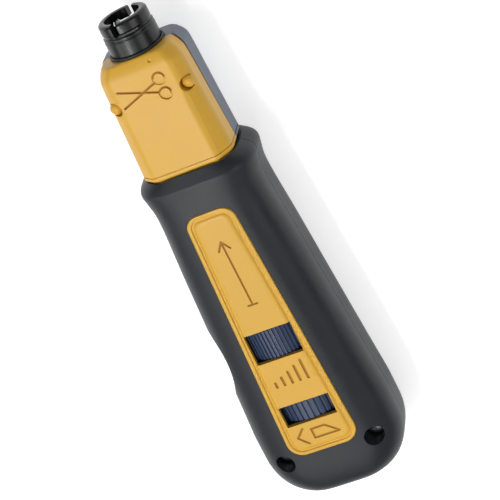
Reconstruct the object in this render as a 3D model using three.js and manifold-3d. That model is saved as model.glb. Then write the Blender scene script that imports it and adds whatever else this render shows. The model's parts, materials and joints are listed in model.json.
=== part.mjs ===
// Punch down tool: a twist-lock blade socket in a two-part nose, a two-part rubbery grip,
// and inside them the impact mechanism with its adjusting ring and its blade release ring.
// Millimetres. While the pieces are made, Y runs along the tool from BUTT to the socket's
// lip at LIP, +Z is the front face and the mechanism's axis is X = 0, Z = 0.

import * as THREE from 'three';
import { mergeVertices } from 'three/addons/utils/BufferGeometryUtils.js';
import Module from 'manifold-3d';

const wasm = await Module();
wasm.setup();

// ---- driving dimensions -------------------------------------------------------------------

const BUTT = 2;
const LIP = 181;
const FAR = 40;                  // a cutter that ends here has left the tool
const GAP = 0.3;                 // play between pieces that touch
const SEAM = 0.1;                // half of the joint line between the front and rear halves
const ROUND = 36;                // sides of a turned piece

const GRIP_WALL = 2.4;
const FRONT_POWER = 2.7;          // how square the grip's section is: 2 would be an ellipse
const BACK_POWER = 4;
const CROWN = 0.6;               // what is planed off the section's crown
const GRIP_BACK = 17;            // the flat back of the grip, below the mechanism's axis
const NOSE_TOP = 169.3;
const NOSE_FOOT = 129;           // where the nose enters the grip's mouth
const TONGUE_FOOT = 116;         // the hidden end of the nose, held inside the mouth

const SOCKET = { radius: 8.7, bore: 6, foot: 148, floor: 162.5, pocketTop: 153.3, pocket: 5.5 };
const COLLAR = { reach: 0.8, height: 0.9 };
const SOCKET_RIM = { groove: 176.2, foot: 177.5, step: 0.5, lip: 0.9 };
const SLOT = { angle: -12, width: 2.2, foot: 176.4, runTop: 177.8, sweep: 58 };
const BALL = { radius: 1.1, out: 5.9, y: 177.4, turn: 131 };

const SLEEVE = { radius: 10, bore: 9, foot: 46, top: 163, shoulder: 121.5, shoulderTop: 124, neck: 4.9 };
const CORE_HOLE = 2.2;           // the hole that the square release rod runs through
const ROD_SIDE = 2.4;
const PISTON = 8.6;              // what slides in the sleeve
const HAMMER = { foot: 92.3, top: 117, slot: 112, clearance: 0.4 };
const SEAT = { foot: 60, top: 64, travel: 3.5, lug: 1.4 };
const PLUNGER = { head: 7.5, neck: 4.5 };
const LATCH = { left: -7, right: 5, half: 4.2, height: 3, hole: 3.1 };
const LOCK = { radius: 5.2, flat: 4 };
const ROD_FOOT = 26;
const COIL = 6.8;                // the radius that the large springs are wound to

const PLATE = { foot: 20, top: 114.5, footHalf: 12.6, topHalf: 8.3, corner: 4.5, base: 13.2, face: 14.9 };
const IMPACT_WINDOW = { foot: 57.3, top: 68.8, half: 8.3 };
const RELEASE_WINDOW = { foot: 31.9, top: 39.9, half: 9 };
const RING = { radius: 14.2, bore: 10.7, groove: 0.5, play: 0.35, fineRibs: 64, coarseRibs: 42 };
const WEB = { radius: 11.8, foot: 34.5, top: 37.5 };   // the release ring's web, and its rim's bore

const SCREW = { x: 16.2, y: 18.1, floor: 5, head: 3, headHeight: 2.2, shank: 1.3, hole: 3.4, boss: 1.4 };
const NOSE_PIN = { x: 12.6, y: 155.7, head: 2.1, shank: 0.8, seat: 8.2, recess: 0.4 };
const BAY = { radius: 31, reach: 18.8, y: 61 };
const RIBS = [28.5, 47.5, 78, 104];
const RIB_THICKNESS = 2.4;

// The grip's outline: at each station along Y, half its width, its front and its back depth.
const GRIP = [
  [BUTT, 12.0, 9.4, 10.4],
  [2.8, 15.8, 11.4, 12.6],
  [4.8, 19.2, 12.9, 14.4],
  [8, 22.0, 13.9, 15.9],
  [12.5, 23.9, 14.5, 16.8],
  [18.5, 24.8, 14.6, GRIP_BACK],
  [27, 24.8, 14.6, GRIP_BACK],
  [36, 24.2, 14.6, GRIP_BACK],
  [68, 22.1, 14.6, GRIP_BACK],
  [95, 20.4, 14.6, GRIP_BACK],
  [111, 19.2, 14.6, GRIP_BACK],
  [117, 19.2, 14.6, GRIP_BACK],
  [121.5, 20.0, 14.6, GRIP_BACK],
  [124.3, 20.4, 14.5, 16.6],
  [126.4, 19.4, 13.9, 15.6],
  [128.6, 16.7, 13.1, 14.2],
];

// The nose's outline: half its width, the depth where its chamfers start, half its flat
// face and that face's depth. The rear half keeps more of its depth towards the top.
const NOSE_FRONT = [
  [TONGUE_FOOT, 14.0, 7.0, 10.0, 11.4],
  [NOSE_FOOT - 1, 14.3, 7.0, 10.2, 11.5],
  [NOSE_FOOT, 15.9, 8.0, 11.3, 12.8],
  [164.8, 14.3, 7.6, 10.9, 11.4],
  [166.7, 13.4, 7.2, 10.4, 11.0],
  [NOSE_TOP, 11.4, 6.0, 8.6, 9.8],
];
const NOSE_BACK = [
  [TONGUE_FOOT, 14.0, 7.0, 10.0, 11.4],
  [NOSE_FOOT - 1, 14.3, 7.0, 10.2, 11.5],
  [NOSE_FOOT, 15.9, 8.8, 11.8, 13.6],
  [165.2, 14.5, 10.2, 11.8, 12.8],
  [167.4, 13.8, 9.4, 11.2, 12.0],
  [NOSE_TOP, 12.2, 7.6, 9.6, 10.4],
];

// ---- solids -------------------------------------------------------------------------------

// Welds a geometry's vertices by place and drops the triangles that have no area.
function weld(geometry) {
  const bare = geometry.clone();
  bare.deleteAttribute('normal');
  bare.deleteAttribute('uv');
  const merged = mergeVertices(bare, 1e-4);
  const corners = merged.getIndex().array;
  const kept = [];
  for (let i = 0; i < corners.length; i += 3) {
    const [a, b, c] = [corners[i], corners[i + 1], corners[i + 2]];
    if (a !== b && b !== c && c !== a) kept.push(a, b, c);
  }
  merged.setIndex(kept);
  return merged;
}

function solid(geometry) {
  const welded = weld(geometry);
  return new wasm.Manifold(new wasm.Mesh({
    numProp: 3,
    vertProperties: new Float32Array(welded.getAttribute('position').array),
    triVerts: new Uint32Array(welded.getIndex().array),
  }));
}

function geometryOf(body) {
  const mesh = body.getMesh();
  const geometry = new THREE.BufferGeometry();
  geometry.setAttribute('position', new THREE.BufferAttribute(new Float32Array(mesh.vertProperties), 3));
  geometry.setIndex(new THREE.BufferAttribute(new Uint32Array(mesh.triVerts), 1));
  return geometry;
}

function cut(body, ...tools) {
  return tools.reduce((rest, tool) => rest.subtract(tool), body);
}

function join(...bodies) {
  return bodies.reduce((sum, body) => sum.add(body));
}

// A solid through rings of points, each ring round a convex section, closed by flat ends.
function loft(rings) {
  const count = rings[0].length;
  const positions = rings.flat(2);
  const index = [];
  for (let r = 0; r + 1 < rings.length; r += 1) {
    for (let i = 0; i < count; i += 1) {
      const a = r * count + i;
      const b = r * count + (i + 1) % count;
      index.push(a, a + count, b, b, a + count, b + count);
    }
  }
  const last = (rings.length - 1) * count;
  for (let i = 1; i + 1 < count; i += 1) {
    index.push(0, i, i + 1, last, last + i + 1, last + i);
  }
  const geometry = new THREE.BufferGeometry();
  geometry.setAttribute('position', new THREE.Float32BufferAttribute(positions, 3));
  geometry.setIndex(index);
  return solid(geometry);
}

// A piece turned about the Y axis from [radius, y] points.
function turned(points, sides = ROUND) {
  return solid(new THREE.LatheGeometry(points.map(([r, y]) => new THREE.Vector2(r, y)), sides));
}

function cylinder(radius, foot, top, sides = ROUND) {
  return turned([[0, foot], [radius, foot], [radius, top], [0, top]], sides);
}

function tube(radius, bore, foot, top, sides = ROUND) {
  return turned([[bore, foot], [radius, foot], [radius, top], [bore, top], [bore, foot]], sides);
}

// A block between two corners.
function block([x0, y0, z0], [x1, y1, z1]) {
  const box = new THREE.BoxGeometry(x1 - x0, y1 - y0, z1 - z0);
  return solid(box.translate((x0 + x1) / 2, (y0 + y1) / 2, (z0 + z1) / 2));
}

// A cylinder whose axis runs along Z.
function post(radius, x, y, z0, z1, sides = 24) {
  const geometry = new THREE.CylinderGeometry(radius, radius, z1 - z0, sides);
  return solid(geometry.rotateX(Math.PI / 2).translate(x, y, (z0 + z1) / 2));
}

// A flat outline in X and Y, raised from z0 to z1.
function raised(shape, z0, z1) {
  const settings = { depth: z1 - z0, bevelEnabled: false, curveSegments: 6 };
  const geometry = new THREE.ExtrudeGeometry(shape, settings);
  return solid(geometry.translate(0, 0, z0));
}

// A helix of round wire about the Y axis, given by the middle of its wire.
class Helix extends THREE.Curve {
  constructor(radius, foot, top, turns) {
    super();
    Object.assign(this, { radius, foot, top, turns });
  }

  getPoint(t, target = new THREE.Vector3()) {
    const angle = t * this.turns * 2 * Math.PI;
    const y = THREE.MathUtils.lerp(this.foot, this.top, t);
    return target.set(this.radius * Math.cos(angle), y, this.radius * Math.sin(angle));
  }
}

function spring(radius, wire, foot, top, turns) {
  const section = new THREE.Shape();
  section.absarc(0, 0, wire, 0, 2 * Math.PI);
  const extrudePath = new Helix(radius, foot + wire, top - wire, turns);
  const steps = Math.round(turns * 10);
  return solid(new THREE.ExtrudeGeometry(section, { steps, extrudePath, curveSegments: 2 }));
}

// ---- sections -----------------------------------------------------------------------------

// Half of the grip's section on one side of the joint line. It is rounded more on the front
// half than on the rear half, and its crown is planed flat.
function gripRing([y, half, front, back], side, wall) {
  const power = side > 0 ? FRONT_POWER : BACK_POWER;
  const depth = (side > 0 ? front : back) - wall;
  const count = 18;
  const ring = [];
  for (let i = 0; i <= count; i += 1) {
    const angle = Math.PI * i / count;
    const across = Math.sign(Math.cos(angle)) * Math.abs(Math.cos(angle)) ** (2 / power);
    const up = Math.sin(angle) ** (2 / power);
    const rise = Math.min(up * (depth - SEAM + CROWN), depth - SEAM);
    ring.push([across * (half - wall), y, side * (SEAM + rise)]);
  }
  return side > 0 ? ring : ring.reverse();
}

function gripLoft(side, wall, foot, top) {
  const stations = GRIP.filter(([y]) => y >= foot && y <= top);
  return loft(stations.map((station) => gripRing(station, side, wall)));
}

function noseRing([y, half, shoulder, flat, depth], side, wall, seam) {
  const ring = [
    [half - wall, y, side * seam],
    [half - wall, y, side * (shoulder - wall / 2)],
    [flat - wall / 2, y, side * (depth - wall)],
    [wall / 2 - flat, y, side * (depth - wall)],
    [wall - half, y, side * (shoulder - wall / 2)],
    [wall - half, y, side * seam],
  ];
  return side > 0 ? ring : ring.reverse();
}

// The plate's tapered outline with round corners, let in by an inset.
function plateShape(inset) {
  const foot = PLATE.foot + inset;
  const top = PLATE.top - inset;
  const footHalf = PLATE.footHalf - inset;
  const topHalf = PLATE.topHalf - inset;
  const corner = PLATE.corner;
  const shape = new THREE.Shape();
  shape.moveTo(corner - footHalf, foot);
  shape.lineTo(footHalf - corner, foot);
  shape.quadraticCurveTo(footHalf, foot, footHalf, foot + corner);
  shape.lineTo(topHalf, top - corner);
  shape.quadraticCurveTo(topHalf, top, topHalf - corner, top);
  shape.lineTo(corner - topHalf, top);
  shape.quadraticCurveTo(-topHalf, top, -topHalf, top - corner);
  shape.lineTo(-footHalf, foot + corner);
  shape.quadraticCurveTo(-footHalf, foot, corner - footHalf, foot);
  return shape;
}

function windowCut(opening) {
  return block([-opening.half, opening.foot, RING.radius / 2], [opening.half, opening.top, FAR]);
}

// ---- grip ---------------------------------------------------------------------------------

// The hollow of one grip half: open at the joint line, crossed by ribs and screw bosses.
function gripHollow(side) {
  let hollow = gripLoft(side, GRIP_WALL, BUTT + 5, 112);
  for (const y of RIBS) {
    hollow = cut(hollow, block([-FAR, y - RIB_THICKNESS / 2, -FAR], [FAR, y + RIB_THICKNESS / 2, FAR]));
  }
  for (const x of [-SCREW.x, SCREW.x]) {
    hollow = cut(hollow, post(SCREW.hole + SCREW.boss, x, SCREW.y, -FAR, FAR));
  }
  return cut(hollow, flankBay(GRIP_WALL));
}

// What the nose's hidden end and the underside of its rim need inside the grip's mouth.
function mouthCut(side) {
  const [tongue, neck, rim] = NOSE_FRONT.slice(0, 3).map((station) => noseRing(station, side, -GAP, -1));
  const at = (ring, y) => ring.map(([x, , z]) => [x, y, z]);
  return loft([
    at(tongue, TONGUE_FOOT - GAP),
    at(neck, NOSE_FOOT - 1 - GAP),
    at(rim, NOSE_FOOT - GAP),
    at(rim, NOSE_FOOT + 1),
  ]);
}

// The shallow bay on the left flank, where a finger reaches for the adjusting ring.
function flankBay(wall) {
  return post(BAY.radius + wall, -BAY.reach - BAY.radius, BAY.y, -FAR, FAR, 96);
}

function gripShell(side) {
  const outer = gripLoft(side, 0, BUTT, NOSE_FOOT);
  const tools = [
    gripHollow(side),
    cylinder(SLEEVE.radius + GAP, SLEEVE.foot - GAP, NOSE_FOOT + 2),
    cylinder(CORE_HOLE + GAP, PLATE.foot, SLEEVE.foot, 24),
    mouthCut(side),
    flankBay(0),
  ];
  for (const x of [-SCREW.x, SCREW.x]) {
    tools.push(post(SCREW.shank + GAP, x, SCREW.y, -GRIP_BACK + 3, FAR));
    if (side > 0) tools.push(post(SCREW.hole, x, SCREW.y, SCREW.floor, FAR));
  }
  if (side > 0) {
    tools.push(raised(plateShape(-GAP), PLATE.base - GAP, FAR));
    tools.push(windowCut(IMPACT_WINDOW), windowCut(RELEASE_WINDOW));
  }
  return cut(outer, ...tools);
}

function controlPlate() {
  const plate = raised(plateShape(0), PLATE.base, PLATE.face);
  return cut(plate, windowCut(IMPACT_WINDOW), windowCut(RELEASE_WINDOW));
}

// A case screw: a pan head with a cross recess on a plain shank.
function caseScrew(x) {
  const top = SCREW.floor + GAP + SCREW.headHeight;
  const head = post(SCREW.head, x, SCREW.y, SCREW.floor + GAP, top);
  const shank = post(SCREW.shank, x, SCREW.y, -GRIP_BACK + 4, SCREW.floor + 1, 16);
  const recess = [0, 1].map((turn) => {
    const slot = new THREE.BoxGeometry(3.2, 0.8, 1.4).rotateZ(turn * Math.PI / 2);
    return solid(slot.translate(x, SCREW.y, top - 0.4));
  });
  return cut(join(head, shank), ...recess);
}

// ---- nose ---------------------------------------------------------------------------------

function noseShell(side) {
  const stations = side > 0 ? NOSE_FRONT : NOSE_BACK;
  const outer = loft(stations.map((station) => noseRing(station, side, 0, SEAM)));
  const tools = [
    cylinder(SLEEVE.radius + GAP, TONGUE_FOOT - 1, SLEEVE.top + GAP),
    cylinder(SOCKET.radius + 0.4, SLEEVE.top, NOSE_TOP + 1),
  ];
  for (const x of [-NOSE_PIN.x, NOSE_PIN.x]) {
    tools.push(post(NOSE_PIN.shank + GAP, x, NOSE_PIN.y, -NOSE_PIN.seat + 1, FAR, 16));
    if (side > 0) tools.push(post(NOSE_PIN.head + NOSE_PIN.recess, x, NOSE_PIN.y, NOSE_PIN.seat, FAR));
  }
  return cut(outer, ...tools);
}

// A domed pin that holds the two halves of the nose together.
function nosePin(x) {
  const seat = NOSE_PIN.seat + GAP;
  const profile = [[0, 1 - 2 * NOSE_PIN.seat], [NOSE_PIN.shank, 1 - 2 * NOSE_PIN.seat], [NOSE_PIN.shank, 0],
    [NOSE_PIN.head, 0]];
  const arc = 6;
  for (let i = 1; i <= arc; i += 1) {
    const angle = i / arc * Math.PI / 2;
    profile.push([NOSE_PIN.head * Math.cos(angle), 0.8 * NOSE_PIN.head * Math.sin(angle)]);
  }
  const pin = new THREE.LatheGeometry(profile.map(([r, y]) => new THREE.Vector2(r, y)), 20);
  return solid(pin.rotateX(Math.PI / 2).translate(x, NOSE_PIN.y, seat));
}

// ---- blade socket -------------------------------------------------------------------------

// A cutter for one bayonet slot: straight down from the lip, then sideways under the rim.
function bayonetSlot(angle) {
  const reach = SOCKET.radius + 2;
  const entry = new THREE.BoxGeometry(SLOT.width, LIP + 1 - SLOT.foot, reach);
  entry.translate(0, (LIP + 1 + SLOT.foot) / 2, reach / 2);
  const run = new THREE.Shape();
  const sweep = THREE.MathUtils.degToRad(SLOT.sweep);
  run.moveTo(0, 0);
  run.absarc(0, 0, reach, 0, sweep);
  run.closePath();
  const sector = new THREE.ExtrudeGeometry(run, {
    depth: SLOT.runTop - SLOT.foot, bevelEnabled: false, curveSegments: 8,
  });
  sector.rotateX(-Math.PI / 2).rotateY(-Math.PI / 2 + sweep);
  sector.translate(0, SLOT.foot, 0);
  const turn = THREE.MathUtils.degToRad(angle);
  return join(solid(entry.rotateY(turn)), solid(sector.rotateY(turn)));
}

function bladeSocket() {
  const { radius, bore, foot, floor, pocketTop, pocket } = SOCKET;
  const rim = SOCKET_RIM;
  const body = turned([
    [pocket, foot], [radius, foot], [radius, rim.groove], [radius - rim.step, rim.groove + rim.step],
    [radius - rim.step, rim.foot - GAP], [radius - GAP, rim.foot], [radius - GAP, LIP - rim.lip],
    [radius - rim.lip, LIP], [bore + GAP, LIP], [bore, LIP - GAP], [bore, floor],
    [CORE_HOLE, floor], [CORE_HOLE, pocketTop], [pocket, pocketTop], [pocket, foot],
  ], 64);
  return cut(body, bayonetSlot(SLOT.angle), bayonetSlot(SLOT.angle + 180), ballHole());
}

// The lock ball sits in a blind hole in the bore's wall and stands a little way out of it.
function atBall(geometry) {
  return geometry.rotateY(THREE.MathUtils.degToRad(BALL.turn));
}

function ballHole() {
  const hole = new THREE.CylinderGeometry(BALL.radius + GAP, BALL.radius + GAP, 4, 20);
  return solid(atBall(hole.rotateZ(Math.PI / 2).translate(6, BALL.y, 0)));
}

function lockBall() {
  return solid(atBall(new THREE.SphereGeometry(BALL.radius, 16, 10).translate(BALL.out, BALL.y, 0)));
}

// ---- mechanism ----------------------------------------------------------------------------

function squareHole(side) {
  return block([-side / 2, 0, -side / 2], [side / 2, LIP, side / 2]);
}

function guideSleeve() {
  const { radius, bore, foot, top, shoulder, shoulderTop, neck } = SLEEVE;
  const body = turned([
    [bore, foot], [radius, foot], [radius, top], [bore, top], [bore, shoulderTop],
    [neck, shoulderTop], [neck, shoulder], [bore, shoulder], [bore, foot],
  ]);
  const { foot: seatFoot, top: seatTop, travel, lug } = SEAT;
  const wide = radius + 2;
  const half = lug + GAP;
  return cut(body, block([-wide, seatFoot - travel, -half], [wide, seatTop + travel, half]));
}

// The rod behind the socket; its head, under the sleeve's shoulder, keeps the socket in.
function plungerRod() {
  const top = SOCKET.foot - GAP;
  const foot = HAMMER.top + HAMMER.clearance;
  const headTop = SLEEVE.shoulder - GAP;
  return turned([
    [CORE_HOLE, foot], [PLUNGER.head, foot], [PLUNGER.head, headTop], [PLUNGER.neck, headTop],
    [PLUNGER.neck, top], [CORE_HOLE, top], [CORE_HOLE, foot],
  ]);
}

function hammer() {
  const body = tube(PISTON, CORE_HOLE, HAMMER.foot, HAMMER.top);
  const half = LATCH.half + GAP;
  const top = HAMMER.slot + LATCH.height + 2 * GAP;
  return cut(body, block([-SLEEVE.radius, HAMMER.slot, -half], [SLEEVE.radius, top, half]));
}

// The cross latch, which slides sideways in the hammer against its small spring.
function hammerLatch() {
  const foot = HAMMER.slot + GAP;
  const top = foot + LATCH.height;
  const plate = block([LATCH.left, foot, -LATCH.half], [LATCH.right, top, LATCH.half]);
  return cut(plate, cylinder(LATCH.hole, foot - 1, top + 1, 24));
}

function latchSpring() {
  const section = new THREE.Shape();
  section.absarc(0, 0, 0.3, 0, 2 * Math.PI);
  const extrudePath = new Helix(1, 5.6, 8, 4);
  const wire = new THREE.ExtrudeGeometry(section, { steps: 28, extrudePath, curveSegments: 2 });
  return solid(wire.rotateZ(-Math.PI / 2).translate(0, HAMMER.slot + 1.8, 0));
}

// The seat behind the impact spring: its two lugs run in the sleeve's slots and in the
// thread of the adjusting ring.
function springSeat() {
  const body = tube(PISTON, CORE_HOLE, SEAT.foot, SEAT.top);
  const lugs = [-1, 1].map((side) => {
    const inner = side * (PISTON - 1);
    const outer = side * (RING.bore - GAP);
    const [left, right] = [Math.min(inner, outer), Math.max(inner, outer)];
    return block([left, SEAT.foot + 2 * GAP, -SEAT.lug], [right, SEAT.top - 2 * GAP, SEAT.lug]);
  });
  return join(body, ...lugs);
}

// A thumb ring with ribs along the Y axis.
function ribbedRing(opening, count) {
  const shape = new THREE.Shape();
  const step = 2 * Math.PI / count;
  for (let i = 0; i < count; i += 1) {
    for (const [part, drop] of [[0, 0], [0.5, 0], [0.65, RING.groove], [0.85, RING.groove]]) {
      const angle = (i + part) * step;
      const radius = RING.radius - drop;
      const method = i + part === 0 ? 'moveTo' : 'lineTo';
      shape[method](radius * Math.cos(angle), radius * Math.sin(angle));
    }
  }
  const depth = opening.top - opening.foot - 2 * RING.play;
  const geometry = new THREE.ExtrudeGeometry(shape, { depth, bevelEnabled: false });
  return solid(geometry.rotateX(-Math.PI / 2).translate(0, opening.foot + RING.play, 0));
}

function impactRing() {
  return cut(ribbedRing(IMPACT_WINDOW, RING.fineRibs), cylinder(RING.bore, BUTT, LIP));
}

function releaseRing() {
  return cut(
    ribbedRing(RELEASE_WINDOW, RING.coarseRibs),
    cylinder(WEB.radius, BUTT, WEB.foot),
    cylinder(WEB.radius, WEB.top, LIP),
    squareHole(ROD_SIDE + 2 * GAP),
  );
}

function releaseRod() {
  const half = ROD_SIDE / 2;
  return block([-half, ROD_FOOT, -half], [half, SOCKET.pocketTop - GAP, half]);
}

function bladeLock() {
  const { radius, flat } = LOCK;
  const rotor = cylinder(radius, SOCKET.foot + 1, SOCKET.pocketTop - GAP, 32);
  const flats = [[-LIP, -flat], [flat, LIP]].map(([low, high]) => block([-LIP, 0, low], [LIP, LIP, high]));
  return cut(rotor, squareHole(ROD_SIDE + 2 * GAP), ...flats);
}

function endPlug() {
  return tube(PISTON, CORE_HOLE, SLEEVE.foot + GAP, SLEEVE.foot + 16 * GAP);
}

// ---- materials ----------------------------------------------------------------------------

function finish(color, roughness, metalness = 0) {
  return new THREE.MeshStandardMaterial({ color, roughness, metalness });
}

const CHARCOAL = finish(0x3a3c3f, 0.62);
const YELLOW = finish(0xe0a83a, 0.42);
const SLATE = finish(0x56606f, 0.45);
const NAVY = finish(0x2f4468, 0.4);
const BLACK_STEEL = finish(0x222426, 0.25, 0.8);
const STEEL = finish(0x9a9da1, 0.35, 1);
const SPRING_STEEL = finish(0x7d8084, 0.3, 1);

// ---- assembly -----------------------------------------------------------------------------

const tool = new THREE.Group();
tool.position.set(0, -(BUTT + LIP) / 2, GRIP_BACK);

function place(group, name, body, material) {
  const mesh = new THREE.Mesh(geometryOf(body), material);
  mesh.name = name;
  group.add(mesh);
}

function placeGrip() {
  const group = new THREE.Group();
  place(group, 'grip_front_shell', gripShell(1), CHARCOAL);
  place(group, 'grip_rear_shell', gripShell(-1), CHARCOAL);
  place(group, 'control_plate', controlPlate(), YELLOW);
  place(group, 'case_screw_left', caseScrew(-SCREW.x), STEEL);
  place(group, 'case_screw_right', caseScrew(SCREW.x), STEEL);
  return group;
}

function placeNose() {
  const group = new THREE.Group();
  place(group, 'nose_front_shell', noseShell(1), YELLOW);
  place(group, 'nose_rear_shell', noseShell(-1), SLATE);
  place(group, 'nose_pin_left', nosePin(-NOSE_PIN.x), YELLOW);
  place(group, 'nose_pin_right', nosePin(NOSE_PIN.x), YELLOW);
  const reach = SOCKET.radius + COLLAR.reach;
  const collar = tube(reach, SOCKET.radius + GAP, NOSE_TOP + GAP, NOSE_TOP + COLLAR.height);
  place(group, 'nose_collar', collar, CHARCOAL);
  return group;
}

function placePlunger() {
  const group = new THREE.Group();
  place(group, 'blade_socket', bladeSocket(), BLACK_STEEL);
  place(group, 'lock_ball', lockBall(), STEEL);
  place(group, 'blade_lock', bladeLock(), STEEL);
  place(group, 'plunger_rod', plungerRod(), STEEL);
  const springFoot = SLEEVE.shoulderTop + 0.2;
  place(group, 'return_spring', spring(COIL, 0.7, springFoot, SOCKET.foot - 0.2, 6), SPRING_STEEL);
  return group;
}

function placeMechanism() {
  const group = new THREE.Group();
  place(group, 'guide_sleeve', guideSleeve(), STEEL);
  place(group, 'hammer', hammer(), STEEL);
  place(group, 'hammer_latch', hammerLatch(), STEEL);
  place(group, 'latch_spring', latchSpring(), SPRING_STEEL);
  place(group, 'impact_spring', spring(COIL, 0.9, SEAT.top + 0.2, HAMMER.foot - 0.2, 7), SPRING_STEEL);
  place(group, 'spring_seat', springSeat(), STEEL);
  place(group, 'impact_ring', impactRing(), NAVY);
  place(group, 'sleeve_end_plug', endPlug(), STEEL);
  place(group, 'release_ring', releaseRing(), NAVY);
  place(group, 'release_rod', releaseRod(), STEEL);
  place(group, 'release_spring', spring(COIL - 0.8, 0.6, ROD_FOOT + 4, WEB.foot - 0.2, 2.5), SPRING_STEEL);
  return group;
}

tool.add(placeGrip(), placeNose(), placePlunger(), placeMechanism());

export default tool;
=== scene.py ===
"""Punch down tool: the finished look of every visible piece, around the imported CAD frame.

The pieces are modelled in the tool's own millimetres, as the CAD model is: X across, Y along
the tool from BUTT to LIP, Z out of the front face, with the mechanism's axis at X = 0, Z = 0.
TOOL_TO_ROW then takes them into the frame, in metres.
"""

import json
import math

import bmesh
import bpy
from mathutils import Matrix, Vector


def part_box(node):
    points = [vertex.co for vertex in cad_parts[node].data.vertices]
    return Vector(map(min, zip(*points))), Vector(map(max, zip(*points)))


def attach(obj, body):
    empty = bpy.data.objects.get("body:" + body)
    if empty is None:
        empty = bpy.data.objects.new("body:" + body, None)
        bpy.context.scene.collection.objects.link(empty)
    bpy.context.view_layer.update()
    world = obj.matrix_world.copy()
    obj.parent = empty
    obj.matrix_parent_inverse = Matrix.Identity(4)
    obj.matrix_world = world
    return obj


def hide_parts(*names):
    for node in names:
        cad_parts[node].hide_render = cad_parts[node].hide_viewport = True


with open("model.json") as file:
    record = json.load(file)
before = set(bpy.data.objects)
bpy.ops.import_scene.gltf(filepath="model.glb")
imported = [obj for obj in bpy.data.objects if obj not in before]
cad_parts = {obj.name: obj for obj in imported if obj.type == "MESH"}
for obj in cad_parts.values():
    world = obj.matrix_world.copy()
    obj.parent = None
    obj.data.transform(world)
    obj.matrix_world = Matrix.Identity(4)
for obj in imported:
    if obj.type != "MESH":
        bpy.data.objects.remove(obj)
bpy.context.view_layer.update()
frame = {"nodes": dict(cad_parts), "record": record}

# ---- the frame, and driving dimensions in millimetres -------------------------------------

MM = 0.001
BUTT = 2.0
SOCKET_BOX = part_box("blade_socket")
AXIS_Z = (SOCKET_BOX[0].z + SOCKET_BOX[1].z) / 2
ORIGIN_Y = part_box("grip_front_shell")[0].y - BUTT * MM
TOOL_TO_ROW = Matrix.Translation((0, ORIGIN_Y, AXIS_Z)) @ Matrix.Scale(MM, 4)
LIP = (SOCKET_BOX[1].y - ORIGIN_Y) / MM
SEAM = 0.1
GAP = 0.3

GRIP = {
    "foot_half": 12.0, "foot_front": 9.4, "foot_back": 10.4,
    "half": 24.8, "front": 14.6, "back": 17.0,
}
BUTT_CURVE = {"half": 16.5, "front": 12.0, "back": 14.0}
GRIP_TOP = 128.6
GRIP_HALF = [(18, 24.8), (27, 24.8), (36, 24.2), (68, 22.1), (95, 20.4), (111, 19.2), (117, 19.2),
             (121.5, 20.0), (124.3, 20.4), (126.4, 19.4), (GRIP_TOP, 16.7)]
GRIP_FRONT = [(121.5, 14.6), (124.2, 14.6), (124.7, 14.5), (125.2, 14.32), (GRIP_TOP, 13.1)]
GRIP_BACK = [(121.5, 17.0), (124.3, 16.6), (126.4, 15.6), (GRIP_TOP, 14.2)]
GRIP_WALL = 2.4
HOLLOW = {"foot": BUTT + 5, "top": 112.0}
FRONT_POWER = 2.7
BACK_POWER = 4.0
CROWN = 0.6
BAY = {"radius": 31.0, "reach": 18.8, "y": 61.0}
SLEEVE = {"radius": 10.0, "foot": 30.0, "top": 132.0}
THROUGH = 30.0

PLATE = {
    "foot": 20.0, "top": 114.5, "foot_half": 12.6, "top_half": 8.3, "foot_corner": 5.4, "corner": 4.6,
}
PLATE_BASE = 13.2
PLATE_FACE = 14.9
PLATE_PLAY = 0.12
OUTSIDE = 20.0
MARK_DEPTH = 0.35
STROKE_STEP = 0.004
NOSE_MARK_FLOOR = 11.1
IMPACT_WINDOW = {"foot": 57.3, "top": 68.8, "half": 8.3}
RELEASE_WINDOW = {"foot": 31.9, "top": 39.9, "half": 9.0}
RING = {"radius": 14.2, "bore": 10.7, "top_play": 0.35, "foot_play": 0.15}
WEB = {"radius": 11.8, "foot": 34.5, "top": 37.5, "half_square": 1.5}
SCREW = {
    "x": 16.2, "y": 18.1, "hole": 3.4, "floor": 5.0, "boss": 1.4, "head": 3.0, "height": 2.2,
    "shank": 1.3, "shank_hole": 1.6, "tip": -13.0, "edge": 0.9, "slot_long": 1.6, "slot_short": 0.38,
}

NOSE_FOOT = 129.0
NOSE_TOP = 169.3
TONGUE_FOOT = 116.0

# A station of the nose is its y, half width, shoulder height, half the flat's width and depth.
TONGUE = [(TONGUE_FOOT, 14.0, 7.0, 10.0, 11.4), (NOSE_FOOT - 1, 14.3, 7.0, 10.2, 11.5)]
NOSE_FRONT = [
    (NOSE_FOOT, 15.9, 8.0, 11.3, 12.8), (150, 14.97, 7.77, 11.07, 11.98),
    (163.8, 14.34, 7.61, 10.9, 11.43), (165.4, 14.0, 7.5, 10.7, 11.28),
    (167.2, 13.2, 7.1, 9.9, 10.75), (NOSE_TOP, 11.9, 6.4, 8.8, 9.9),
]
NOSE_BACK = [
    (NOSE_FOOT, 15.9, 8.8, 11.8, 13.6), (150, 15.1, 9.6, 11.8, 13.14),
    (164.0, 14.54, 10.2, 11.8, 12.8), (166.0, 14.2, 9.7, 11.5, 12.4),
    (167.8, 13.3, 8.8, 10.7, 11.5), (NOSE_TOP, 12.4, 7.8, 9.8, 10.5),
]
NOSE_EDGE = 0.7
NOSE_CORNERS = {"seam": 0.02, "shoulder": 5.0, "flat": 3.2}
NOSE_BORE = {"radius": 10.3, "foot": 110.0, "step": 163.3, "top": 172.0, "play": 0.4}
NOSE_LINE = {"foot": 1.5, "top": 1.85, "depth": 0.35}
PIN = {"x": 12.6, "y": 155.7, "seat": 8.2, "head": 2.1, "shank": 0.8, "recess": 0.3, "crown": 0.8}
COLLAR = {"reach": 0.8, "height": 0.9}
SOCKET = {
    "radius": 8.7, "bore": 6.0, "foot": 148.0, "floor": 162.5,
    "pocket": 5.5, "pocket_top": 153.3, "core_hole": 2.2,
}
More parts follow.
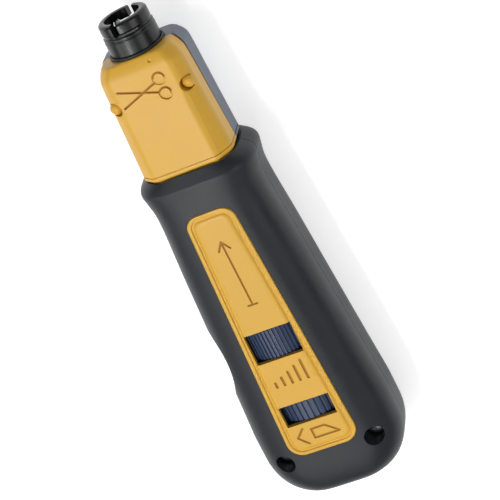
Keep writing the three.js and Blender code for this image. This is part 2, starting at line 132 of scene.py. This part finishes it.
SLOT = {"angle": -12.0, "width": 2.2, "foot": 176.6, "run_top": 177.7, "sweep": 58.0}
BALL = {"radius": 1.1, "out": 5.9, "y": 177.4, "turn": 131.0}

# ---- small geometry tools -----------------------------------------------------------------


def between(table, y):
    """The value at y of a smooth curve through (y, value) points, held at its ends."""
    if y <= table[0][0]:
        return table[0][1]
    for i in range(len(table) - 1):
        (y0, v0), (y1, v1) = table[i], table[i + 1]
        if y <= y1:
            before = table[max(i - 1, 0)]
            after = table[min(i + 2, len(table) - 1)]
            m0 = (v1 - before[1]) / (y1 - before[0]) * (y1 - y0)
            m1 = (after[1] - v0) / (after[0] - y0) * (y1 - y0)
            t = (y - y0) / (y1 - y0)
            return ((2 * t**3 - 3 * t**2 + 1) * v0 + (t**3 - 2 * t**2 + t) * m0
                    + (3 * t**2 - 2 * t**3) * v1 + (t**3 - t**2) * m1)
    return table[-1][1]


def rounded(corners, radii, steps=6):
    """The outline of a convex polygon with round corners, with steps + 1 points at each."""
    outline = []
    count = len(corners)
    for i, corner in enumerate(corners):
        here = Vector(corner)
        back = Vector(corners[i - 1]) - here
        ahead = Vector(corners[(i + 1) % count]) - here
        radius = radii[i] if isinstance(radii, (list, tuple)) else radii
        half = back.angle(ahead) / 2
        reach = radius / math.tan(half)
        start = here + back.normalized() * reach
        end = here + ahead.normalized() * reach
        centre = here + (back.normalized() + ahead.normalized()).normalized() * radius / math.sin(half)
        turn = (start - centre).angle_signed(end - centre)
        for k in range(steps + 1):
            spoke = (start - centre).copy()
            spoke.rotate(Matrix.Rotation(-turn * k / steps, 2))
            outline.append(tuple(centre + spoke))
    return outline


def new_object(name, bm):
    """An object in tool millimetres from a bmesh, with its faces turned outwards."""
    bmesh.ops.remove_doubles(bm, verts=bm.verts, dist=1e-4)
    bmesh.ops.recalc_face_normals(bm, faces=bm.faces)
    mesh = bpy.data.meshes.new(name)
    bm.to_mesh(mesh)
    bm.free()
    made = bpy.data.objects.new(name, mesh)
    bpy.context.scene.collection.objects.link(made)
    return made


def loft(name, rings):
    """A solid through rings of (x, y, z), with flat ends."""
    bm = bmesh.new()
    loops = [[bm.verts.new(point) for point in ring] for ring in rings]
    for low, high in zip(loops, loops[1:]):
        for i in range(len(low)):
            j = (i + 1) % len(low)
            bm.faces.new((low[i], low[j], high[j], high[i]))
    bm.faces.new(loops[0])
    bm.faces.new(reversed(loops[-1]))
    return new_object(name, bm)


def turned(name, profile, sides=96):
    """A solid of revolution about Y through (radius, y) points, closed on itself or on the axis."""
    bm = bmesh.new()
    rings = []
    for radius, y in profile:
        if radius == 0:
            rings.append([bm.verts.new((0, y, 0))])
            continue
        angles = [2 * math.pi * i / sides for i in range(sides)]
        rings.append([bm.verts.new((radius * math.cos(a), y, radius * math.sin(a))) for a in angles])
    on_axis = profile[0][0] == 0
    pairs = list(zip(rings, rings[1:])) + ([] if on_axis else [(rings[-1], rings[0])])
    for low, high in pairs:
        for i in range(sides):
            j = i + 1
            corners = [low[i % len(low)], low[j % len(low)], high[j % len(high)], high[i % len(high)]]
            bm.faces.new(list(dict.fromkeys(corners)))
    return new_object(name, bm)


def prism(name, outline, z0, z1):
    """An outline of (x, y) points raised from z0 to z1."""
    return loft(name, [[(x, y, z) for x, y in outline] for z in (z0, z1)])


def box(name, low, high):
    """A block between two opposite corners."""
    outline = [(low[0], low[1]), (high[0], low[1]), (high[0], high[1]), (low[0], high[1])]
    return prism(name, outline, low[2], high[2])


def stand_up(made, x, y, z):
    """Turns a piece made about Y so that it stands along Z, and moves it there."""
    made.data.transform(Matrix.Translation((x, y, z)) @ Matrix.Rotation(math.pi / 2, 4, "X"))
    return made


def apply_modifiers(made):
    """Makes what the modifiers show into the object's own mesh."""
    depsgraph = bpy.context.evaluated_depsgraph_get()
    mesh = bpy.data.meshes.new_from_object(made.evaluated_get(depsgraph))
    made.modifiers.clear()
    made.data = mesh
    return made


def cut(made, cutters, operation="DIFFERENCE"):
    """Cuts each of the other solids out of this one, or with UNION joins them to it."""
    for cutter in cutters:
        modifier = made.modifiers.new("cut", "BOOLEAN")
        modifier.object = cutter
        modifier.operation = operation
        modifier.solver = "EXACT"
    apply_modifiers(made)
    for cutter in cutters:
        bpy.data.objects.remove(cutter)
    return made


def settle(made, node, body, finish, bevel=0.0, crease=32, sunk_shade=None):
    """Finishes a piece in place of a CAD node: rounds its edges sharper than crease degrees, takes
    it into the frame and hangs it on its body. Its last argument holds its engraved floors' height and the
    darker yellow painted on them as shade."""
    if bevel:
        modifier = made.modifiers.new("edges", "BEVEL")
        modifier.width = bevel
        modifier.segments = 3
        modifier.limit_method = "ANGLE"
        modifier.angle_limit = math.radians(crease)
        modifier.harden_normals = False
        apply_modifiers(made)
    bm = bmesh.new()
    bm.from_mesh(made.data)
    bmesh.ops.dissolve_degenerate(bm, edges=bm.edges, dist=1e-4)
    for edge in bm.edges:
        edge.smooth = len(edge.link_faces) == 2 and edge.calc_face_angle(0) < math.radians(crease)
    for face in bm.faces:
        face.smooth = True
        level = face.calc_center_median().z
        # Faces on the engraved floors take the second, darker material: painted shade in the marks.
        in_mark_shade = sunk_shade is not None and face.normal.z > 0.97 and abs(level - sunk_shade[0]) < 0.04
        face.material_index = int(in_mark_shade)
    made.data.materials.clear()
    made.data.materials.append(finish)
    if sunk_shade:
        made.data.materials.append(sunk_shade[1])
    bm.to_mesh(made.data)
    bm.free()
    made.data.transform(TOOL_TO_ROW)
    weighted = made.modifiers.new("normals", "WEIGHTED_NORMAL")
    weighted.keep_sharp = True
    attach(made, body)
    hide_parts(node)


# ---- grip ---------------------------------------------------------------------------------


def butt_curve(y, foot, full, reach):
    """The elliptical rounding of the grip's lower end."""
    t = max(0.0, (BUTT + reach - y) / reach)
    return foot + (full - foot) * math.sqrt(max(0.0, 1 - t * t))


def grip_size(y, side):
    """Half the grip's width at y, and its depth on the front (1) or the back (-1)."""
    if y < GRIP_HALF[0][0] + 0.5:
        half = butt_curve(y, GRIP["foot_half"], GRIP["half"], BUTT_CURVE["half"])
    else:
        half = min(between(GRIP_HALF, y), GRIP["half"])
    face, table = ("front", GRIP_FRONT) if side > 0 else ("back", GRIP_BACK)
    depth = butt_curve(y, GRIP["foot_" + face], GRIP[face], BUTT_CURVE[face])
    return half, min(depth, between(table, y))


def grip_ring(y, side, wall=0.0, steps=56):
    """Half of the grip's section, from +X round to -X: rounder on the front than on the back."""
    half, depth = grip_size(y, side)
    half, depth = half - wall, depth - wall - SEAM
    power = FRONT_POWER if side > 0 else BACK_POWER
    ring = []
    for i in range(steps + 1):
        angle = math.pi * i / steps
        across = math.copysign(abs(math.cos(angle)) ** (2 / power), math.cos(angle))
        rise = math.sin(angle) ** (2 / power) * (1 + CROWN / depth)
        soft = max(0.08 - abs(rise - 1), 0)
        rise = min(rise, 1) - soft * soft / 0.32
        ring.append((across * half, y, side * (SEAM + rise * depth)))
    return ring


def grip_stations(foot, top):
    """Where the grip's sections are: closer together where it curves."""
    reach = BUTT_CURVE["half"]
    butt = [BUTT + reach * (1 - math.cos(math.pi / 2 * i / 16)) for i in range(17)]
    body = [20 + 4 * i for i in range(24)]
    flare = [114 + 0.5 * i for i in range(19)] + [123.4 + 0.25 * i for i in range(21)] + [GRIP_TOP]
    return [y for y in butt + body + flare if foot <= y <= top]


def grip_solid(name, side, wall=0.0, foot=BUTT, top=GRIP_TOP):
    """Half of the grip as a solid, or smaller all round by wall, for its hollow."""
    return loft(name, [grip_ring(y, side, wall) for y in grip_stations(foot, top)])


def plate_outline(inset):
    """The plate's tapering outline, drawn in by inset."""
    foot, top = PLATE["foot"] + inset, PLATE["top"] - inset
    low, high = PLATE["foot_half"] - inset, PLATE["top_half"] - inset
    corners = [(-low, foot), (low, foot), (high, top), (-high, top)]
    foot_radius, top_radius = [max(0.9, PLATE[key] - inset) for key in ("foot_corner", "corner")]
    return rounded(corners, [foot_radius, foot_radius, top_radius, top_radius], 8)


def windows():
    """Cutters for the two openings that the thumb rings show through."""
    cutters = []
    for opening in (IMPACT_WINDOW, RELEASE_WINDOW):
        half = opening["half"]
        cutters.append(box("window", (-half, opening["foot"], 5), (half, opening["top"], OUTSIDE)))
    return cutters


def cylinder(name, radius, low, high, sides=96):
    """A plain cylinder about Y."""
    return turned(name, [(0, low), (radius, low), (radius, high), (0, high)], sides)


def post(name, radius, x, y, low, high, sides=48):
    """A plain cylinder along Z."""
    return stand_up(cylinder(name, radius, low, high, sides), x, y, 0)


def nose_ring(station, side, grow=0.0, seam=SEAM):
    """Half of the nose's section at a station, from the seam on +X round to the one on -X."""
    y, half, shoulder, flat, depth = station
    half, shoulder, flat, depth = half + grow, shoulder + grow / 2, flat + grow / 2, depth + grow
    right = [(half, seam), (half, shoulder), (flat, depth)]
    left = [(-x, z) for x, z in reversed(right)]
    radii = [NOSE_CORNERS[key] for key in ("seam", "shoulder", "flat")]
    outline = rounded(right + left, radii + radii[::-1])
    return [(x, y, side * z) for x, z in outline]


def nose_station(table, y):
    """The nose's section at y, drawn in a little where its foot and its top edge are rounded."""
    from_edge = min(y - NOSE_FOOT, NOSE_TOP - y, NOSE_EDGE)
    drawn_in = NOSE_EDGE - math.sqrt(NOSE_EDGE**2 - (NOSE_EDGE - from_edge) ** 2)
    sizes = [between([(row[0], row[i]) for row in table], y) - drawn_in for i in (1, 2, 3, 4)]
    return (y, *sizes)


def nose_levels():
    """Where the nose's sections are: closer together at its rounded foot and top."""
    edge = [NOSE_EDGE * (1 - math.cos(math.pi / 2 * i / 6)) for i in range(7)]
    middle = [NOSE_FOOT + 2 + 3 * i for i in range(12)] + [164 + 0.4 * i for i in range(11)]
    return [NOSE_FOOT + e for e in edge] + middle + [NOSE_TOP - e for e in reversed(edge)]


def mouth(side):
    """The room for the nose's hidden end and for its foot, in the grip's top."""
    tongue, neck = [nose_ring(station, side, GAP, -1) for station in TONGUE]
    rim = nose_ring((NOSE_FRONT if side > 0 else NOSE_BACK)[0], side, GAP / 2, -1)
    levels = [
        (tongue, TONGUE_FOOT - GAP), (neck, NOSE_FOOT - 1 - GAP),
        (rim, NOSE_FOOT - GAP), (rim, NOSE_FOOT + 1),
    ]
    return loft("mouth", [[(x, y, z) for x, _, z in ring] for ring, y in levels])


def finger_bay(wall=0.0):
    """The cutter for the finger bay in the grip's left flank."""
    x = -BAY["reach"] - BAY["radius"]
    return post("bay", BAY["radius"] + wall, x, BAY["y"], -THROUGH, THROUGH, 256)


def grip_shell(name, side):
    """The front (1) or rear (-1) shell: hollow, with solid bosses round its screws."""
    shell = grip_solid(name, side)
    hollow = grip_solid("hollow", side, GRIP_WALL, HOLLOW["foot"], HOLLOW["top"])
    screw_places = (-SCREW["x"], SCREW["x"])
    boss = SCREW["hole"] + SCREW["boss"]
    bosses = [post("boss", boss, x, SCREW["y"], -THROUGH, THROUGH) for x in screw_places]
    cut(hollow, bosses + [finger_bay(GRIP_WALL)])
    bore = cylinder("bore", SLEEVE["radius"] + GAP, SLEEVE["foot"], SLEEVE["top"])
    cutters = [hollow, bore, mouth(side), finger_bay()]
    for x in screw_places:
        shank_hole = post("shank", SCREW["shank_hole"], x, SCREW["y"], SCREW["tip"] - 1, OUTSIDE, 24)
        cutters.append(shank_hole)
        if side > 0:
            floor = SCREW["floor"]
            cutters.append(post("counterbore", SCREW["hole"], x, SCREW["y"], floor, OUTSIDE))
    if side > 0:
        cutters.append(prism("pocket", plate_outline(-PLATE_PLAY), PLATE_BASE - GAP, OUTSIDE))
        cutters += windows()
    return cut(shell, cutters)


# ---- plate --------------------------------------------------------------------------------


def engraved(name, points, width, floor, ceiling):
    """Cutters for a stroke of the given width along a polyline."""
    cutters = []
    for i, (start, end) in enumerate(zip(points, points[1:])):
        a, b = Vector(start), Vector(end)
        along = (b - a).normalized() * width / 2
        side = Vector((-along.y, along.x))
        corners = [a - along - side, b + along - side, b + along + side, a - along + side]
        outline = rounded([tuple(corner) for corner in corners], width * 0.45, 3)
        cutters.append(prism(name, outline, floor + STROKE_STEP * i, ceiling))
    return cutters


def circle(x, y, radius, steps=24):
    """A ring of (x, y) points that ends where it starts."""
    angles = [2 * math.pi * i / steps for i in range(steps + 1)]
    return [(x + radius * math.cos(a), y + radius * math.sin(a)) for a in angles]


def control_plate():
    """The plate: a flat rim, a moulded groove inside it and a crowned panel with windows."""
    steps = [
        (0, PLATE_BASE), (0, 14.5), (0.14, 14.7), (0.4, 14.8), (1.15, 14.8), (1.3, 14.72), (1.5, 14.35),
        (1.8, 14.28), (2.05, 14.4), (2.35, 14.68), (2.7, 14.8), (3.2, 14.87), (3.7, PLATE_FACE),
    ]
    rings = [[(x, y, z) for x, y in plate_outline(inset)] for inset, z in steps]
    plate = loft("control_plate_moulded", rings)
    cutters = windows()
    floor, top = PLATE_FACE - MARK_DEPTH, PLATE_FACE + 1
    for step in range(5):
        x = -5.6 + 2.8 * step
        cutters += engraved("bar", [(x, 47.6), (x, 49.2 + 1.35 * step)], 0.95, floor, top)
    cutters += engraved("chevron", [(-4.6, 30.0), (-7.4, 27.0), (-4.6, 24.0)], 0.8, floor, top)
    blade = [(-1.8, 29.0), (3.0, 29.0), (7.0, 25.4), (-1.8, 25.4), (-1.8, 29.0)]
    cutters += engraved("blade", blade, 0.8, floor, top)
    shaft = [(0, 79), (0, 103.4)]
    head = [(-2.0, 100.4), (0, 103.4), (2.0, 100.4)]
    tail = [(-1.6, 79), (1.6, 79)]
    for stroke in (shaft, head, tail):
        cutters += engraved("arrow", stroke, 0.7, floor, top)
    return cut(plate, cutters)


# ---- nose ---------------------------------------------------------------------------------


def foot_line(side):
    """The cutter for the thin line round the nose, just above its foot."""
    section = NOSE_FRONT[0][1:]

    def between_levels(name, low, high, grow, seam):
        return loft(name, [nose_ring((y, *section), side, grow, seam) for y in (low, high)])

    groove = between_levels("groove", NOSE_FOOT + NOSE_LINE["foot"], NOSE_FOOT + NOSE_LINE["top"], 2, -1)
    core = between_levels("core", NOSE_FOOT - 4, NOSE_FOOT + 6, -NOSE_LINE["depth"], -2)
    return cut(groove, [core])


def nose_bore():
    """The room for the sleeve, and above it for the socket."""
    wide, narrow = NOSE_BORE["radius"], SOCKET["radius"] + NOSE_BORE["play"]
    foot, step, top = NOSE_BORE["foot"], NOSE_BORE["step"], NOSE_BORE["top"]
    return turned("bore", [(0, foot), (wide, foot), (wide, step), (narrow, step), (narrow, top), (0, top)])


def nose_marks():
    """Cutters for the shears engraved on the nose's face, and the dimple above them."""
    blades = [[(-9.0, 161.2), (3.2, 156.8)], [(-9.0, 155.6), (3.2, 160.0)]]
    handles = [circle(5.3, 161.0, 1.9), circle(5.3, 155.8, 1.9)]
    cutters = []
    for stroke in blades + handles:
        cutters += engraved("shears", stroke, 0.75, NOSE_MARK_FLOOR, 13)
    dimple = turned("dimple", [(0, -0.6), (0.7, 0), (0.7, 1), (0, 1)], 24)
    return cutters + [stand_up(dimple, 4.9, 167.2, 10.6)]


def nose_shell(name, side):
    """The front (1) or rear (-1) half of the nose, with the tongue that the grip holds."""
    stations = NOSE_FRONT if side > 0 else NOSE_BACK
    outer = loft(name, [nose_ring(nose_station(stations, y), side) for y in nose_levels()])
    neck = (NOSE_FOOT + 0.5, *TONGUE[1][1:])
    tongue = loft("tongue", [nose_ring(station, side) for station in TONGUE + [neck]])
    cut(outer, [tongue], "UNION")
    cutters = [foot_line(side), nose_bore()]
    for x in (-PIN["x"], PIN["x"]):
        cutters.append(post("shank", PIN["shank"] + GAP, x, PIN["y"], 1 - PIN["seat"], OUTSIDE, 24))
        if side > 0:
            recess = PIN["head"] + PIN["recess"]
            cutters.append(post("recess", recess, x, PIN["y"], PIN["seat"], OUTSIDE))
    if side > 0:
        cutters += nose_marks()
    return cut(outer, cutters)


def dome(name, x):
    """A domed pin that holds the two halves of the nose together."""
    head, shank, tip = PIN["head"], PIN["shank"], 1 - 2 * PIN["seat"]
    height = PIN["crown"] * head
    angles = [math.pi / 2 * i / 12 for i in range(12)]
    arc = [(head * math.cos(a), height * math.sin(a)) for a in angles]
    profile = [(0, tip), (shank, tip), (shank, 0)] + arc + [(0, height)]
    return stand_up(turned(name, profile, 48), x, PIN["y"], PIN["seat"] + GAP)


def collar():
    """The ring round the socket's root, with a rounded upper edge."""
    low, high = NOSE_TOP + GAP, NOSE_TOP + COLLAR["height"]
    inner, outer = SOCKET["radius"] + GAP, SOCKET["radius"] + COLLAR["reach"]
    return turned("nose_collar_ring", [
        (inner, low), (outer, low), (outer, high - 0.3), (outer - 0.08, high - 0.1),
        (outer - 0.25, high), (inner, high),
    ], 128)


# ---- socket -------------------------------------------------------------------------------


def sector(start, sweep, low, high, reach=11.0, steps=20):
    """A slice of a disc between two heights. Its start is an angle from +Z towards +X."""
    angles = [math.radians(start + sweep * i / steps) for i in range(steps + 1)]
    rim = [(reach * math.sin(a), reach * math.cos(a)) for a in angles]
    return loft("run", [[(0, y, 0)] + [(x, y, z) for x, z in rim] for y in (low, high)])


def bayonet(angle):
    """Cutters for one slot: straight down from the lip, then sideways under the rim."""
    entry = box("entry", (-SLOT["width"] / 2, SLOT["foot"], 0), (SLOT["width"] / 2, LIP + 1, 11))
    entry.data.transform(Matrix.Rotation(math.radians(angle), 4, "Y"))
    return [entry, sector(angle, SLOT["sweep"], SLOT["foot"], SLOT["run_top"])]


def blade_socket():
    """The socket: a turned body with a groove and a rounded lip, its slots and its ball's hole."""
    radius, bore, foot, floor = SOCKET["radius"], SOCKET["bore"], SOCKET["foot"], SOCKET["floor"]
    pocket, pocket_top, core_hole = SOCKET["pocket"], SOCKET["pocket_top"], SOCKET["core_hole"]
    barrel = [(pocket, foot), (radius, foot), (radius, 175.0), (radius - 0.25, 175.2)]
    band = [(radius - 0.25, 175.45), (radius - 0.1, 175.65), (radius - 0.1, 176.15), (radius - 0.3, 176.35)]
    groove = [(radius - 0.7, 176.5), (radius - 0.7, 177.2), (radius - 0.35, 177.5)]
    lip = [
        (radius - 0.35, LIP - 1.0), (radius - 0.45, LIP - 0.55), (radius - 0.75, LIP - 0.2),
        (radius - 1.1, LIP), (bore + 0.35, LIP), (bore + 0.1, LIP - 0.1), (bore, LIP - 0.35),
    ]
    inside = [(bore, floor), (core_hole, floor), (core_hole, pocket_top), (pocket, pocket_top)]
    body = turned("blade_socket_turned", barrel + band + groove + lip + inside, 160)
    hole = cylinder("ball hole", BALL["radius"] + GAP, 4, 8, 32)
    hole.data.transform(at_ball() @ Matrix.Rotation(-math.pi / 2, 4, "Z"))
    return cut(body, bayonet(SLOT["angle"]) + bayonet(SLOT["angle"] + 180) + [hole])


def at_ball():
    """Takes a shape on the X axis to the side of the bore where the ball is."""
    return Matrix.Translation((0, BALL["y"], 0)) @ Matrix.Rotation(math.radians(BALL["turn"]), 4, "Y")


def lock_ball():
    """The ball, a hair smaller than the CAD's faceted one."""
    bm = bmesh.new()
    bmesh.ops.create_icosphere(bm, subdivisions=4, radius=BALL["radius"] * 0.995)
    ball = new_object("lock_ball_polished", bm)
    ball.data.transform(at_ball() @ Matrix.Translation((BALL["out"], 0, 0)))
    return ball


# ---- rings and screws ---------------------------------------------------------------------


def ribbed_ring(name, opening, count, profile, bores):
    """A thumb ring: profile is one rib's outline, as (share of the pitch, drop) points."""
    outline = []
    for i in range(count):
        for share, drop in profile:
            angle = 2 * math.pi * (i + share) / count
            radius = RING["radius"] - drop
            outline.append((math.cos(angle) * radius, math.sin(angle) * radius))
    foot, top = opening["foot"] + RING["foot_play"], opening["top"] - RING["top_play"]
    edge = [(0, 0.97), (0.12, 0.985), (0.4, 1)]
    levels = [(foot + rise, scale) for rise, scale in edge]
    levels += [(top - rise, scale) for rise, scale in reversed(edge)]
    ring = loft(name, [[(x * scale, y, z * scale) for x, z in outline] for y, scale in levels])
    return cut(ring, bores)


def impact_ring():
    bore = cylinder("bore", RING["bore"], IMPACT_WINDOW["foot"] - 5, IMPACT_WINDOW["top"] + 5)
    ribs = [(0.0, 0.1), (0.08, 0.0), (0.45, 0.0), (0.55, 0.14), (0.68, 0.5), (0.88, 0.5)]
    return ribbed_ring("impact_ring_ribbed", IMPACT_WINDOW, 64, ribs, [bore])


def release_ring():
    """The release ring has a web across it, with a square hole that turns the rod."""
    low, high, half = RELEASE_WINDOW["foot"] - 5, RELEASE_WINDOW["top"] + 5, WEB["half_square"]
    ends = ((low, WEB["foot"]), (WEB["top"], high))
    bores = [cylinder("bore", WEB["radius"], foot, top) for foot, top in ends]
    bores.append(box("square", (-half, low, -half), (half, high, half)))
    ribs = [(0.0, 0.12), (0.06, 0.02), (0.3, 0.0), (0.66, 0.02), (0.74, 0.12), (0.8, 0.5), (0.93, 0.5)]
    return ribbed_ring("release_ring_ribbed", RELEASE_WINDOW, 42, ribs, bores)


def case_screw(name, x):
    """A pan-head screw with a cross recess, at the bottom of its counterbore."""
    head, shank, tip, edge = SCREW["head"], SCREW["shank"], SCREW["tip"], SCREW["edge"]
    seat = SCREW["floor"] + GAP
    top = seat + SCREW["height"]
    angles = [math.pi / 2 * i / 8 for i in range(8)]
    arc = [(head * math.cos(a), top - edge + edge * math.sin(a)) for a in angles]
    profile = [(0, tip), (shank, tip), (shank, seat), (head, seat)] + arc + [(0, top)]
    screw = stand_up(turned(name, profile, 64), x, SCREW["y"], 0)
    long, short, y = SCREW["slot_long"], SCREW["slot_short"], SCREW["y"]
    cross = ((long, short), (short, long))
    slots = [box("slot", (x - a, y - b, top - 1.1), (x + a, y + b, top + 1)) for a, b in cross]
    return cut(screw, slots)


# ---- materials ----------------------------------------------------------------------------


def linear(red, green, blue):
    """A colour given in 0-255 display values, for a shader."""
    shares = [value / 255 for value in (red, green, blue)]
    values = [s / 12.92 if s <= 0.04045 else ((s + 0.055) / 1.055) ** 2.4 for s in shares]
    return (*values, 1.0)


def material(name, dark, light, roughness, grain, bump, metallic=0.0, specular=0.5, stretch=(1, 1, 1)):
    """A finish between two 0-255 colours, with slow drift, fine grain in its bump and a
    roughness that varies."""
    made = bpy.data.materials.new(name)
    made.use_nodes = True
    nodes, links = made.node_tree.nodes, made.node_tree.links
    shader = nodes["Principled BSDF"]
    shader.inputs["Metallic"].default_value = metallic
    shader.inputs["Specular IOR Level"].default_value = specular
    where = nodes.new("ShaderNodeTexCoord")
    scaled = nodes.new("ShaderNodeMapping")
    scaled.inputs["Scale"].default_value = stretch
    links.new(where.outputs["Object"], scaled.inputs["Vector"])

    def noise(scale, detail, source):
        texture = nodes.new("ShaderNodeTexNoise")
        texture.inputs["Scale"].default_value = scale
        texture.inputs["Detail"].default_value = detail
        links.new(source, texture.inputs["Vector"])
        return texture.outputs["Fac"]

    def ramp(value, low, high, start=0.35, end=0.65):
        mapped = nodes.new("ShaderNodeMapRange")
        mapped.inputs["From Min"].default_value = start
        mapped.inputs["From Max"].default_value = end
        mapped.inputs["To Min"].default_value = low
        mapped.inputs["To Max"].default_value = high
        links.new(value, mapped.inputs["Value"])
        return mapped.outputs["Result"]

    drift = noise(45, 3, where.outputs["Object"])
    speck = noise(grain, 2, scaled.outputs["Vector"])
    both = nodes.new("ShaderNodeMath")
    both.operation = "ADD"
    links.new(ramp(drift, 0.0, 0.6), both.inputs[0])
    links.new(ramp(speck, 0.0, 0.4), both.inputs[1])
    mix = nodes.new("ShaderNodeMix")
    mix.data_type = "RGBA"
    mix.inputs[6].default_value = linear(*dark)
    mix.inputs[7].default_value = linear(*light)
    links.new(both.outputs[0], mix.inputs[0])
    links.new(mix.outputs[2], shader.inputs["Base Color"])
    links.new(ramp(drift, roughness - 0.04, roughness + 0.04), shader.inputs["Roughness"])
    rough = nodes.new("ShaderNodeBump")
    rough.inputs["Strength"].default_value = bump
    rough.inputs["Distance"].default_value = 0.00008
    links.new(speck, rough.inputs["Height"])
    links.new(rough.outputs["Normal"], shader.inputs["Normal"])
    return made


CHARCOAL = material("charcoal plastic", (30, 34, 38), (35, 39, 43), 0.42, 2600, 0.35, specular=0.3)
YELLOW = material("yellow plastic", (206, 159, 54), (213, 165, 60), 0.36, 2200, 0.15, specular=0.28)
# Darker yellow for the floors of the engraved marks: painted shade in the recesses.
PAINTED_MARK_SHADE = material(
    "yellow plastic with painted shade in the marks", (160, 112, 40), (170, 120, 46), 0.5, 2200, 0.15, specular=0.1,
)
SLATE = material("slate plastic", (74, 85, 102), (82, 93, 110), 0.4, 2400, 0.3)
NAVY = material("navy plastic", (38, 52, 80), (45, 60, 90), 0.34, 2400, 0.15)
BLACKED = material("blackened steel", (21, 22, 24), (27, 28, 30), 0.27, 1500, 0.2, 0.1, 0.4)
STEEL = material("plain steel", (160, 162, 165), (184, 186, 188), 0.3, 1500, 0.15, 1.0, stretch=(1, 8, 1))
SPRING = material("spring wire", (150, 152, 156), (174, 176, 180), 0.25, 1800, 0.12, 1.0)
PALE = material("pale floor", (200, 200, 200), (204, 204, 204), 0.8, 300, 0.02, specular=0.1)
glow = PALE.node_tree.nodes["Principled BSDF"].inputs
glow["Emission Color"].default_value = (1, 1, 1, 1)
glow["Emission Strength"].default_value = 0.65

# ---- assembly -----------------------------------------------------------------------------


def build_housing():
    for side, half in ((1, "front"), (-1, "rear")):
        grip = grip_shell(f"grip_{half}_moulded", side)
        settle(grip, f"grip_{half}_shell", "housing", CHARCOAL, 0.3)
    # The engraved floors of the plate's and the nose's marks get darker yellow as painted shade.
    plate_mark_shade, nose_mark_shade = (PLATE_FACE - MARK_DEPTH, PAINTED_MARK_SHADE), (NOSE_MARK_FLOOR, PAINTED_MARK_SHADE)
    settle(control_plate(), "control_plate", "housing", YELLOW, 0.1, 40, plate_mark_shade)
    front = nose_shell("nose_front_moulded", 1)
    settle(front, "nose_front_shell", "housing", YELLOW, 0.1, 32, nose_mark_shade)
    rear = nose_shell("nose_rear_moulded", -1)
    settle(rear, "nose_rear_shell", "housing", SLATE, 0.15)
    for side, hand in ((-1, "left"), (1, "right")):
        pin = dome(f"nose_pin_{hand}_domed", side * PIN["x"])
        settle(pin, f"nose_pin_{hand}", "housing", YELLOW)
    settle(collar(), "nose_collar", "housing", CHARCOAL)
    for side, hand in ((-1, "left"), (1, "right")):
        screw = case_screw(f"case_screw_{hand}_pan", side * SCREW["x"])
        settle(screw, f"case_screw_{hand}", "housing", STEEL, 0.12)


def build_moving():
    settle(blade_socket(), "blade_socket", "plunger", BLACKED, 0.12)
    settle(lock_ball(), "lock_ball", "ball", STEEL)
    settle(impact_ring(), "impact_ring", "adjuster", NAVY, 0.0, 20)
    settle(release_ring(), "release_ring", "release", NAVY, 0.0, 20)


def finish_internals():
    """The carried-over pieces inside keep their CAD shape and take a finish by their slot."""
    finishes = {"steel": STEEL, "spring_steel": SPRING, "black_steel": BLACKED}
    for entry in frame["record"]["subparts"]:
        node = frame["nodes"][entry["node"]]
        if not node.hide_render:
            node.data.materials.clear()
            node.data.materials.append(finishes[entry["material_slot"]])


# ---- camera, floor and light --------------------------------------------------------------

AIM = Vector((0, 0.0033, AXIS_Z))
TOWARDS = Vector((0.2949, 0.3792, 0.8771)).normalized()
CAMERA_UP = Vector((0.3240, 0.8238, -0.4651))
CAMERA = {"distance": 0.7252, "lens": 160.2, "sensor": 36, "shift_x": 0.0245, "shift_y": -0.0147}


def place_camera():
    data = bpy.data.cameras.new("camera")
    camera = bpy.data.objects.new("camera", data)
    right = CAMERA_UP.cross(TOWARDS).normalized()
    up = TOWARDS.cross(right)
    turn = Matrix((right, up, TOWARDS)).transposed().to_4x4()
    camera.matrix_world = Matrix.Translation(AIM + TOWARDS * CAMERA["distance"]) @ turn
    data.lens = CAMERA["lens"]
    data.sensor_width = CAMERA["sensor"]
    data.shift_x = CAMERA["shift_x"]
    data.shift_y = CAMERA["shift_y"]
    data.clip_start = 0.05
    bpy.context.scene.collection.objects.link(camera)
    bpy.context.scene.camera = camera


def area_light(name, direction, distance, size, power, tall=None):
    """A square light, or a strip when tall is given, in a direction from the object."""
    data = bpy.data.lights.new(name, "AREA")
    data.shape = "RECTANGLE" if tall else "SQUARE"
    data.size = size
    if tall:
        data.size_y = tall
    data.energy = power
    light = bpy.data.objects.new(name, data)
    away = Vector(direction).normalized()
    turn = away.to_track_quat("Z", "Y").to_matrix().to_4x4()
    light.matrix_world = Matrix.Translation(AIM + away * distance) @ turn
    bpy.context.scene.collection.objects.link(light)


def place_floor():
    bm = bmesh.new()
    bmesh.ops.create_grid(bm, x_segments=8, y_segments=8, size=2.5)
    floor = new_object("floor", bm)
    floor.location.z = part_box("grip_rear_shell")[0].z - 0.0002
    floor.data.materials.append(PALE)


def light_scene():
    bpy.context.scene.view_settings.view_transform = "Standard"
    area_light("key", (-0.29, -0.4, 0.86), 3.0, 2.8, 46)
    area_light("strip", (-0.3, -0.05, 0.95), 0.9, 0.5, 2.8, 0.05)
    area_light("right", (0.9, -0.1, 0.8), 1.6, 0.8, 4.8)
    area_light("left", (-0.95, -0.1, 0.6), 1.6, 0.5, 4)
    world = bpy.data.worlds.new("studio")
    bpy.context.scene.world = world
    world.use_nodes = True
    nodes, links = world.node_tree.nodes, world.node_tree.links
    where = nodes.new("ShaderNodeTexCoord")
    split = nodes.new("ShaderNodeSeparateXYZ")
    fade = nodes.new("ShaderNodeMapRange")
    fade.inputs["From Min"].default_value = 0.1
    fade.inputs["From Max"].default_value = 0.9
    fade.inputs["To Min"].default_value = 0.06
    fade.inputs["To Max"].default_value = 0.32
    links.new(where.outputs["Generated"], split.inputs[0])
    links.new(split.outputs["Z"], fade.inputs["Value"])
    links.new(fade.outputs["Result"], nodes["Background"].inputs["Strength"])
    nodes["Background"].inputs["Color"].default_value = (1, 1, 1, 1)


place_camera()
build_housing()
build_moving()
finish_internals()
place_floor()
light_scene()
